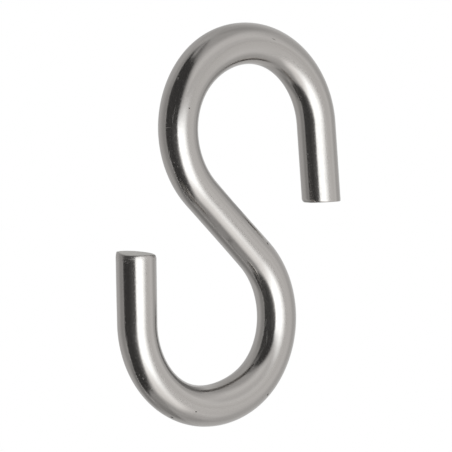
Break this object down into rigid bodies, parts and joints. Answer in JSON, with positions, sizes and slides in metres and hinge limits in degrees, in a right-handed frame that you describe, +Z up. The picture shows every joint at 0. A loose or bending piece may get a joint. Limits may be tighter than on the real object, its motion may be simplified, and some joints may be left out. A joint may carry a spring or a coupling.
{
  "type": "s hook",
  "caption": "S-shaped hook bent from round steel bar, open at both ends, for hanging things from a bar, ring or chain.",
  "frame": {"origin": "the point inside the crown of the upper bend where the hook bears on what it hangs from, in the middle of the bar", "axes": "+Z up, along the hook's length; the bar's path lies in the XZ plane; the upper hook opens towards +X and the lower hook towards -X; +Y is square to the flat of the hook, and the front is the -Y side"},
  "size_m": [0.041, 0.006, 0.0608],
  "materials": {
    "steel": "bright polished stainless steel with fine draw lines along the bar and light handling scratches"
  },
  "bodies": {
    "root": {"s_hook": "steel"}
  },
  "joints": []
}
